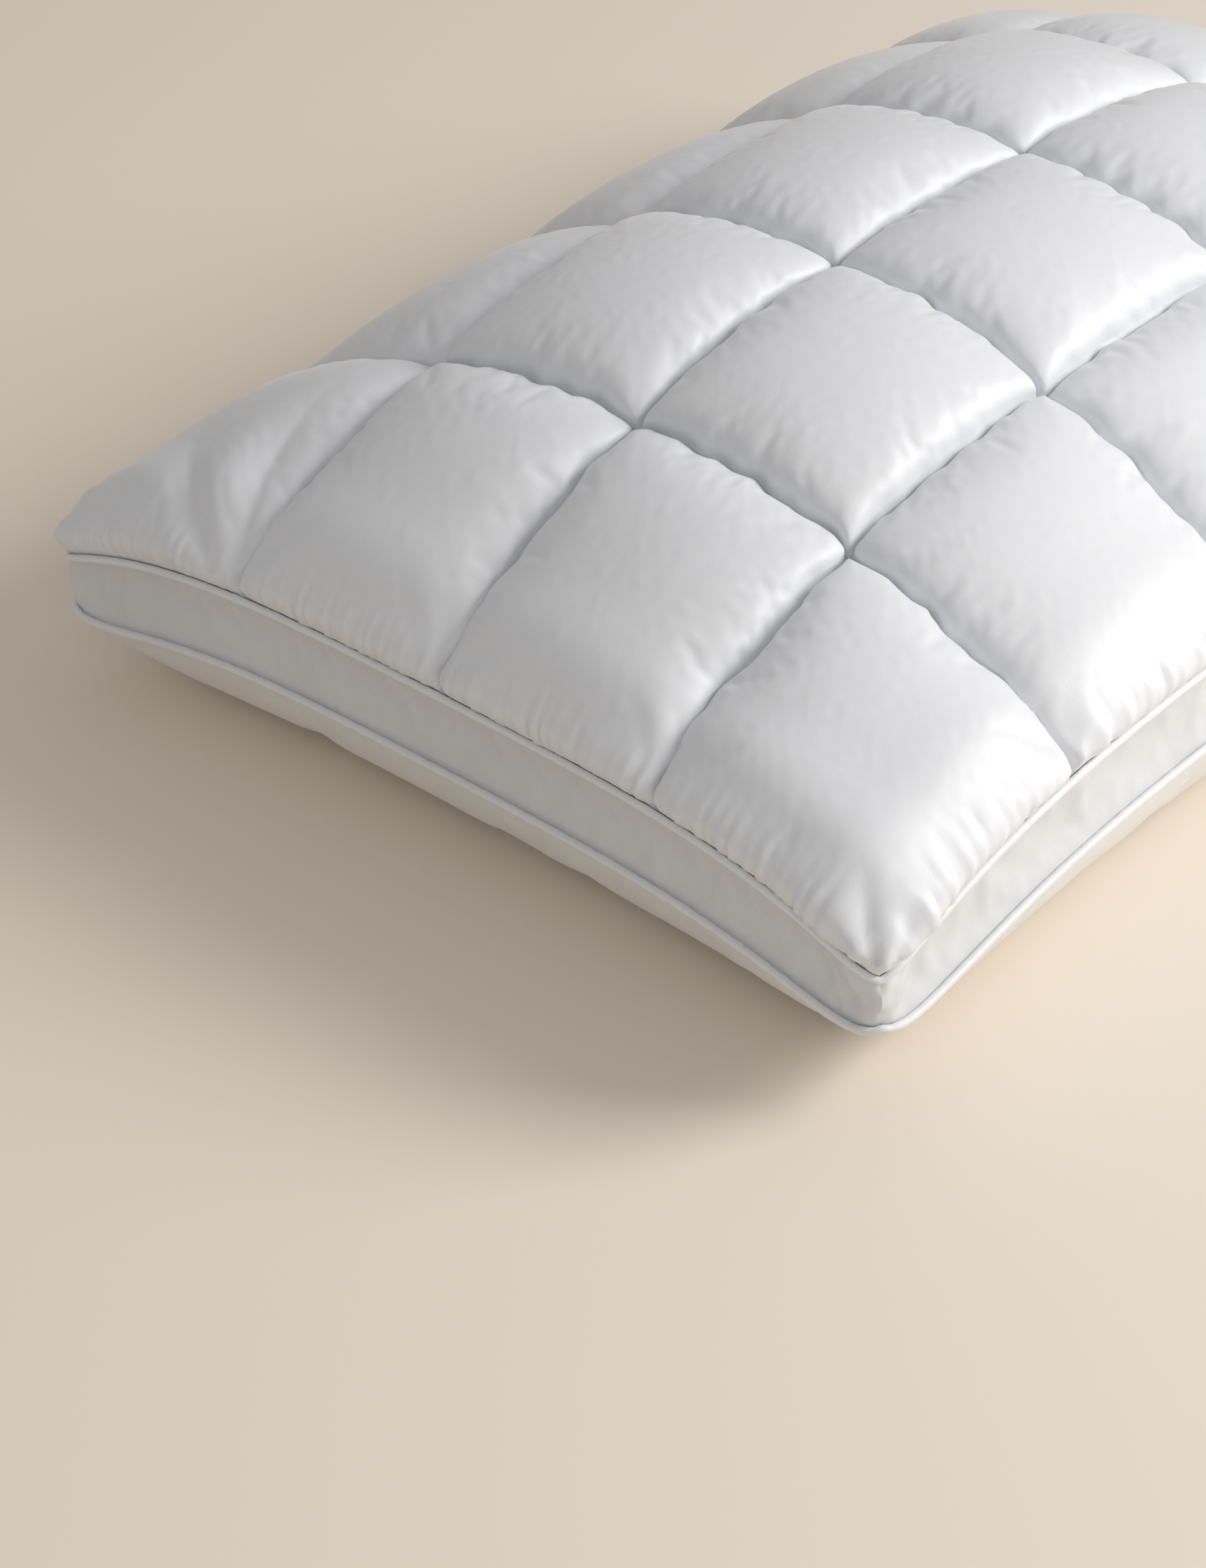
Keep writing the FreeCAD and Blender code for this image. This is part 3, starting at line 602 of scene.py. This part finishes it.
def keep_off(points, path, radius):
    """Moves points that are within radius of a path straight out to it."""
    points = points.reshape(-1, 3).copy()
    low, high = path.min(axis=0) + 0.03, path.max(axis=0) - 0.03
    outer = np.flatnonzero(((points < low) | (points > high))[:, :2].any(axis=1))
    for first in range(0, len(outer), 500):
        chosen = outer[first:first + 500]
        away = points[chosen][:, None, :] - path[None, :, :]
        far = np.linalg.norm(away, axis=2)
        nearest = far.argmin(axis=1)
        place = np.arange(len(chosen))
        distance = far[place, nearest]
        close = distance < radius
        direction = away[place, nearest][close] / np.maximum(distance[close], 1e-6)[:, None]
        points[chosen[close]] = path[nearest[close]] + direction * radius
    return points


face_edge = np.zeros(face_points.shape[:2], bool)
face_edge[[0, -1], :] = True
face_edge[:, [0, -1]] = True
clear_points = keep_off(face_points, bead_path, BEAD_RADIUS + BEAD_CLEARANCE)
clear_points[face_edge.ravel()] = face_points.reshape(-1, 3)[face_edge.ravel()]
face_points = clear_points.reshape(face_points.shape)

quilted_face = add_mesh("quilted_face", face_points, grid_faces(*face_points.shape[:2]), SATIN)
settle(quilted_face, ["face_panel"])


# Lining, pocket pads and core ------------------------------------------------------------------

def closed_pad(name, top, bottom, material):
    """A closed form between two grids of points, joined round their edges."""
    rows, columns = top.shape[:2]
    index = np.arange(rows * columns).reshape(rows, columns)
    rim = np.concatenate([index[:-1, 0], index[-1, :-1], index[:0:-1, -1], index[0, :0:-1]])
    upper = grid_faces(rows, columns)
    lower = upper[:, ::-1] + rows * columns
    following = np.roll(rim, -1)
    wall = np.stack([following, rim, rim + rows * columns, following + rows * columns], axis=-1)
    points = np.concatenate([top.reshape(-1, 3), bottom.reshape(-1, 3)])
    return add_mesh(name, points, np.concatenate([upper, lower, wall]), material)


def make_lining():
    rows, columns = 101, 81
    across, up = share_grid(rows, columns)
    points = points_of(across, up, valley_level(across, up) - 0.0003)
    lining = add_mesh("lining_cloth", points, grid_faces(rows, columns), LINING)
    settle(lining, ["lining_panel"])


def make_pocket_pads():
    """Each pocket's pad fills the room between the lining and the simulated face."""
    margin, per_cell = 6, 2 * PER_CELL
    inset = margin / per_cell
    fullness, film = 0.9, 0.0006
    for row in range(ROWS):
        for column in range(COLUMNS):
            rows = slice(row * per_cell + margin, (row + 1) * per_cell - margin + 1, 2)
            columns = slice(column * per_cell + margin, (column + 1) * per_cell - margin + 1, 2)
            skin = face_points[rows, columns]
            low = (2 * (row + inset) / ROWS - 1, 2 * (column + inset) / COLUMNS - 1)
            high = (2 * (row + 1 - inset) / ROWS - 1, 2 * (column + 1 - inset) / COLUMNS - 1)
            across, up = share_grid(skin.shape[0], skin.shape[1], low, high)
            under = points_of(across, up, valley_level(across, up) + film)
            over = under + (skin - under) * fullness - np.array([0, 0, CLOTH])
            over[..., 2] = np.maximum(over[..., 2], under[..., 2] + film)
            name = f"row{row + 1}_col{column + 1}"
            pad = closed_pad(f"pocket_pad_{name}", over, under, PAD_FIBRE)
            settle(pad, [f"pocket_fill_{name}"])


def make_core():
    """The main filling, between the lining and the underside."""
    shrink, under_lining, over_underside = 0.978, 0.007, 0.0025
    across, up = share_grid(81, 65, (-shrink, -shrink), (shrink, shrink))
    top = points_of(across, up, valley_level(across, up) - under_lining)
    low = points_of(across, up, belly_level(across, up) + over_underside)
    core = closed_pad("core_filling", top, low, CORE_FIBRE)
    settle(core, ["core_fill"])


make_lining()
make_pocket_pads()
make_core()


# Gusset and underside --------------------------------------------------------------------------

SIDES = ("gusset_front", "gusset_right", "gusset_back", "gusset_left")
GUSSET_STEPS = 11
SIDE_STEPS = 170


def make_gusset():
    """The box wall, blown up a little as one ring, then cut at the corners into its four strips."""
    wall_height = UPPER_SEAM - LOWER_SEAM
    top, _ = loop_path(upper_level, SIDE_STEPS)
    low, outward = loop_path(lower_level, SIDE_STEPS)
    share = np.linspace(0, 1, GUSSET_STEPS)[None, :, None]
    wall = top[:, None, :] * (1 - share) + low[:, None, :] * share
    bulge = 4 * share * (1 - share)
    random = np.random.default_rng(8)
    start = wall + outward[:, None, :] * bulge * 0.003
    start[:, 1:-1] += outward[:, None, :] * random.normal(0, 0.0001, (len(top), GUSSET_STEPS - 2, 1))
    pinned = np.zeros(start.shape[:2], bool)
    pinned[:, [0, -1]] = True
    faces = grid_faces(len(top), GUSSET_STEPS, True)
    filled = simulate(start, faces, pinned.ravel(), 0.012, pressure=12, frames=16, bending=1.5)
    filled = filled.reshape(start.shape)
    lower_bead, _ = loop_path(lower_level, LOOP_STEPS, BEAD_OUT)
    clear = keep_off(filled, bead_path, BEAD_RADIUS + GUSSET_CLEARANCE)
    clear = keep_off(clear, lower_bead, BEAD_RADIUS + GUSSET_CLEARANCE).reshape(start.shape)
    clear[:, [0, -1]] = filled[:, [0, -1]]
    # slanting folds that start from each corner
    step = np.arange(len(top)) % SIDE_STEPS
    from_corner = np.minimum(step, SIDE_STEPS - step) * 2 * HALF_LENGTH / SIDE_STEPS
    slant = from_corner[:, None, None] + 0.5 * wall_height * share
    fold_depth, fold_width, fold_reach = 0.0012, 0.021, 0.045
    folds = np.sin(slant / fold_width * 2 * math.pi) * np.exp(-from_corner / fold_reach)[:, None, None]
    clear += outward[:, None, :] * fold_depth * folds * bulge
    for side, name in enumerate(SIDES):
        rows = np.arange(side * SIDE_STEPS, (side + 1) * SIDE_STEPS + 1) % len(top)
        strip = add_mesh(f"{name}_strip", clear[rows], grid_faces(len(rows), GUSSET_STEPS), GUSSET_SATIN_PAINTED_SHADE)
        subdivide(strip)
        settle(strip, [name])


def make_underside():
    """The bottom cloth: it rests flat in the middle and rises in soft folds to the lower seam."""
    rows, columns = 133, 103
    across, up = (np.sin(share * math.pi / 2) for share in share_grid(rows, columns))
    start = points_of(across, up, belly_level(across, up))
    random = np.random.default_rng(5)
    start[1:-1, 1:-1, 2] += random.normal(0, 0.00008, (rows - 2, columns - 2))
    pinned = belly_level(across, up) < 0.004
    pinned[[0, -1], :] = True
    pinned[:, [0, -1]] = True
    faces = grid_faces(rows, columns)[:, ::-1]
    filled = simulate(start, faces, pinned.ravel(), 0.003, pressure=15, frames=14, bending=5.0)
    filled = filled.reshape(start.shape)
    filled[..., 2] = np.maximum(filled[..., 2], 0.0004)  # nothing sinks into the floor
    underside = add_mesh("bottom_cloth", filled, faces, UNDERSIDE)
    subdivide(underside)
    settle(underside, ["bottom_panel"])


make_gusset()
make_underside()


# Piping, threads and label ---------------------------------------------------------------------

def make_piping(name, level, seed):
    """Cord, the cloth folded over it, and the stitching that holds both in the seam."""
    per_side = 300
    path, outward = loop_path(level, per_side, BEAD_OUT)
    swell = 1 + np.concatenate(
        [waves(1, per_side, seed + side, 0.006, 0.05, 0.035) for side in range(4)]
    )
    mouth = 0.25  # half the angle, in radians, at which the cover opens to its flanges
    turn = np.linspace(math.pi - mouth, mouth - math.pi, 17)
    bead = np.stack([BEAD_RADIUS * np.cos(turn), BEAD_RADIUS * np.sin(turn)], axis=-1)
    gap = 0.00025  # half the gap between the two flanges
    edge = -BEAD_OUT - FLANGE_WIDTH
    profile = np.concatenate([[[edge, gap]], bead, [[edge, -gap]]])
    cover = sweep(f"{name}_piping", path, outward, profile, PIPING_SATIN, False, swell)
    settle(cover, [f"{name}_piping_cover"])

    cord = sweep(f"{name}_piping_core", path, outward, circle(CORD_RADIUS, 10), CORD, True)
    settle(cord, [f"{name}_piping_cord"])
    thread_path, outward = loop_path(level, per_side, THREAD_RADIUS * 2)
    ring = circle(THREAD_RADIUS, 6)
    thread = sweep(f"{name}_seam_stitching", thread_path, outward, ring, THREAD, True)
    settle(thread, [f"{name}_seam_thread"])


def joined(name, parts, material):
    """Several meshes as one piece: parts is a list of (points, faces)."""
    points, faces, before = [], [], 0
    for part_points, part_faces in parts:
        points.append(part_points.reshape(-1, 3))
        faces.append(part_faces + before)
        before += len(points[-1])
    return add_mesh(name, np.concatenate(points), np.concatenate(faces), material)


def thread_tube(path, sideways, rise):
    """Points and faces of a round thread along an open path, closed at its ends."""
    sides = 6
    ring = circle(THREAD_RADIUS, sides)
    body = path[:, None, :] + sideways[:, None, :] * ring[None, :, :1] + rise * ring[None, :, 1:]
    ends = [path[:1, None, :].repeat(sides, axis=1), path[-1:, None, :].repeat(sides, axis=1)]
    points = np.concatenate([ends[0], body, ends[1]])
    index = np.arange(len(points) * sides).reshape(len(points), sides)
    index = np.hstack([index, index[:, :1]])
    quads = [index[:-1, :-1], index[1:, :-1], index[1:, 1:], index[:-1, 1:]]
    return points, np.stack(quads, axis=-1).reshape(-1, 4)


def stitched(line):
    """A line of stitches: the thread rises over the cloth and dips between stitches."""
    stitch, bare_end = 0.003, 0.006
    along = np.concatenate([[0], np.cumsum(np.linalg.norm(np.diff(line, axis=0), axis=1))])
    at = np.arange(bare_end, along[-1] - bare_end, stitch / 5)
    path = np.stack([np.interp(at, along, line[:, axis]) for axis in range(3)], axis=-1)
    path[:, 2] += 0.0002 + 0.0004 * np.sin(math.pi * at / stitch) ** 2
    direction = np.gradient(path, axis=0)
    sideways = np.stack([direction[:, 1], -direction[:, 0], np.zeros(len(path))], axis=-1)
    sideways /= np.linalg.norm(sideways, axis=1)[:, None]
    return thread_tube(path, sideways, np.array([0, 0, 1.0]))


def make_quilting():
    lengthwise = [stitched(face_points[::2, 2 * seam * PER_CELL]) for seam in range(1, COLUMNS)]
    crosswise = [stitched(face_points[2 * seam * PER_CELL, ::2]) for seam in range(1, ROWS)]
    for name, lines in (("lengthwise", lengthwise), ("crosswise", crosswise)):
        threads = joined(f"{name}_quilting", lines, THREAD)
        settle(threads, [f"quilting_threads_{name}"])


def make_corner_stitching():
    """Zigzag stitches down the four upright seams between the gusset strips."""
    steps = 24
    lines = []
    for x_sign in (-1.0, 1.0):
        for y_sign in (-1.0, 1.0):
            corner = np.array([x_sign]), np.array([y_sign])
            top = points_of(*corner, upper_level(*corner))[0]
            low = points_of(*corner, lower_level(*corner))[0]
            inward = np.array([-x_sign, -y_sign, 0]) * 0.0012
            share = np.linspace(0.04, 0.96, steps)[:, None]
            path = top * (1 - share) + low * share + inward
            zigzag = 0.0004 * np.sin(np.arange(steps) * math.pi / 2)[:, None]
            sideways = np.tile([y_sign, -x_sign, 0.0], (steps, 1)) / math.sqrt(2)
            outward = np.tile([x_sign, y_sign, 0.0], (steps, 1)) / math.sqrt(2)
            lines.append(thread_tube(path + sideways * zigzag, sideways, outward[:, None, :]))
    threads = joined("corner_stitching", lines, THREAD)
    settle(threads, ["corner_seam_threads"])


def make_label():
    """A blank folded tape that hangs from the lower seam, curling a little at its end."""
    steps_down, steps_along = 20, 10
    middle = (label_box[0].y + label_box[1].y) / 2
    width = label_box[1].y - label_box[0].y
    drop = label_box[1].z - label_box[0].z
    down, along = share_grid(steps_down, steps_along, (0, -0.5), (1, 0.5))
    up = (middle + along * width) / HALF_WIDTH
    across = np.ones_like(up)
    x, y = plan(across, up)
    level = lower_level(across, up) - 0.001 - drop * down
    out = 0.0012 + 0.006 * down ** 2 + 0.0015 * np.sin(3 * along + 2) * down
    skin = np.stack([x + out, y, level], axis=-1)
    back = skin - np.array([0.0005, 0, 0])
    label = closed_pad("blank_care_label", skin, back, TAPE)
    settle(label, ["care_label"])


make_piping("upper", upper_level, 50)
make_piping("lower", lower_level, 60)
make_quilting()
make_corner_stitching()
make_label()


# Floor, light and camera -----------------------------------------------------------------------

def make_floor():
    """A plain warm beige floor, with painted bounce light: its colour is painted lighter and warmer towards
    the shaded left (-x, +y) and less warm towards the lit right.
    """
    material, shader = principled("warm_backdrop", roughness=0.85)
    place = add_node(material, "ShaderNodeTexCoord")
    turned = add_node(material, "ShaderNodeMapping")
    turned.inputs["Location"].default_value = (0.5, 0.5, 0)
    turned.inputs["Rotation"].default_value = (0, 0, math.radians(45))
    turned.inputs["Scale"].default_value = (0.5, 0.5, 1)
    # painted bounce light: the gradient makes the floor lighter and warmer on the side away from the key
    # light
    painted_bounce_light = add_node(material, "ShaderNodeTexGradient")
    ramp = add_node(material, "ShaderNodeValToRGB")
    ramp.color_ramp.elements[0].color = (0.93, 0.81, 0.665, 1)
    ramp.color_ramp.elements[1].color = (0.79, 0.74, 0.685, 1)
    link(material, place, "Object", turned, "Vector")
    link(material, turned, "Vector", painted_bounce_light, "Vector")
    link(material, painted_bounce_light, "Fac", ramp, "Fac")
    link(material, ramp, "Color", shader, "Base Color")
    reach = 5.0
    corners = [(-reach, -reach, 0), (reach, -reach, 0), (reach, reach, 0), (-reach, reach, 0)]
    floor = add_mesh("floor", np.array(corners), [[0, 1, 2, 3]], material)


def add_light(name, place, width, power, colour):
    light = bpy.data.lights.new(name, "AREA")
    light.energy, light.size, light.color = power, width, colour
    lamp = bpy.data.objects.new(name, light)
    bpy.context.scene.collection.objects.link(lamp)
    lamp.location = place
    aim = Vector(place) - Vector((0, 0, UPPER_SEAM))
    lamp.rotation_euler = aim.to_track_quat("Z", "Y").to_euler()


def make_light():
    add_light("key", (1.25, -1.75, 1.4), 1.2, 54, (1.0, 0.985, 0.965))
    add_light("fill", (0.6, 0.2, 2.6), 2.2, 2, (1.0, 0.985, 0.97))
    add_light("front", (-2.0, -1.5, 1.8), 1.5, 8, (1.0, 0.98, 0.96))
    world = bpy.data.worlds.new("studio")
    world.use_nodes = True
    background = world.node_tree.nodes["Background"]
    background.inputs["Color"].default_value = (0.99, 0.975, 0.96, 1)
    background.inputs["Strength"].default_value = 0.37
    bpy.context.scene.world = world
    bpy.context.scene.view_settings.view_transform = "Standard"


def make_camera():
    """The photographer stands off the front left corner and looks down at it."""
    yaw, pitch, roll = math.radians(46.18), math.radians(35.64), math.radians(-4.0)
    place = Vector((-1.475, -1.2946, 1.2873))
    level = math.cos(pitch)
    forward = Vector((level * math.cos(yaw), level * math.sin(yaw), -math.sin(pitch)))
    level_right = forward.cross(Vector((0, 0, 1))).normalized()
    level_up = level_right.cross(forward)
    right = math.cos(roll) * level_right + math.sin(roll) * level_up
    above = math.cos(roll) * level_up - math.sin(roll) * level_right
    lens = bpy.data.cameras.new("camera")
    lens.lens, lens.sensor_width = 111.6, 36.0
    camera = bpy.data.objects.new("camera", lens)
    turned = Matrix((right, above, -forward)).transposed().to_4x4()
    camera.matrix_world = Matrix.Translation(place) @ turned
    bpy.context.scene.collection.objects.link(camera)
    bpy.context.scene.camera = camera


make_floor()
make_light()
make_camera()
